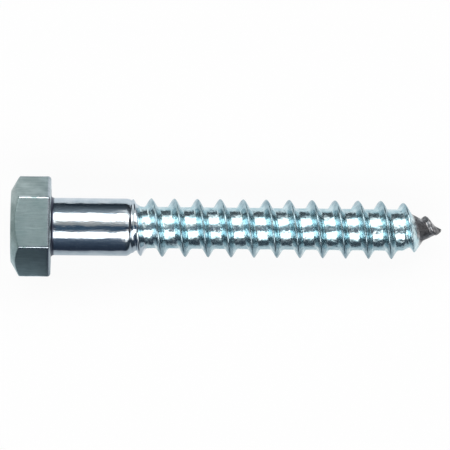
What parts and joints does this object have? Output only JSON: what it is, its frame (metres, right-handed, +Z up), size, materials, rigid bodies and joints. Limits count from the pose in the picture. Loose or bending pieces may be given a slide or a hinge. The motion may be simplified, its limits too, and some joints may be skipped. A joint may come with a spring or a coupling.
{
  "type": "hex lag screw",
  "caption": "Zinc-plated steel lag screw with a chamfered hex head, plain shank, coarse right-hand wood thread and gimlet point, lying on its side.",
  "frame": {"origin": "centre of the bearing face under the head, on the screw's axis", "axes": "+X from the head towards the point, with the screw lying at rest on a wrench flat and a thread crest, so its axis dips 2.43 degrees below +X; +Z up; +Y across two corners of the hexagon"},
  "size_m": [0.0702, 0.0164, 0.0145],
  "materials": {
    "zinc_plated_steel": "bright zinc plate"
  },
  "bodies": {
    "root": {"lag_screw": "zinc_plated_steel"}
  },
  "joints": []
}
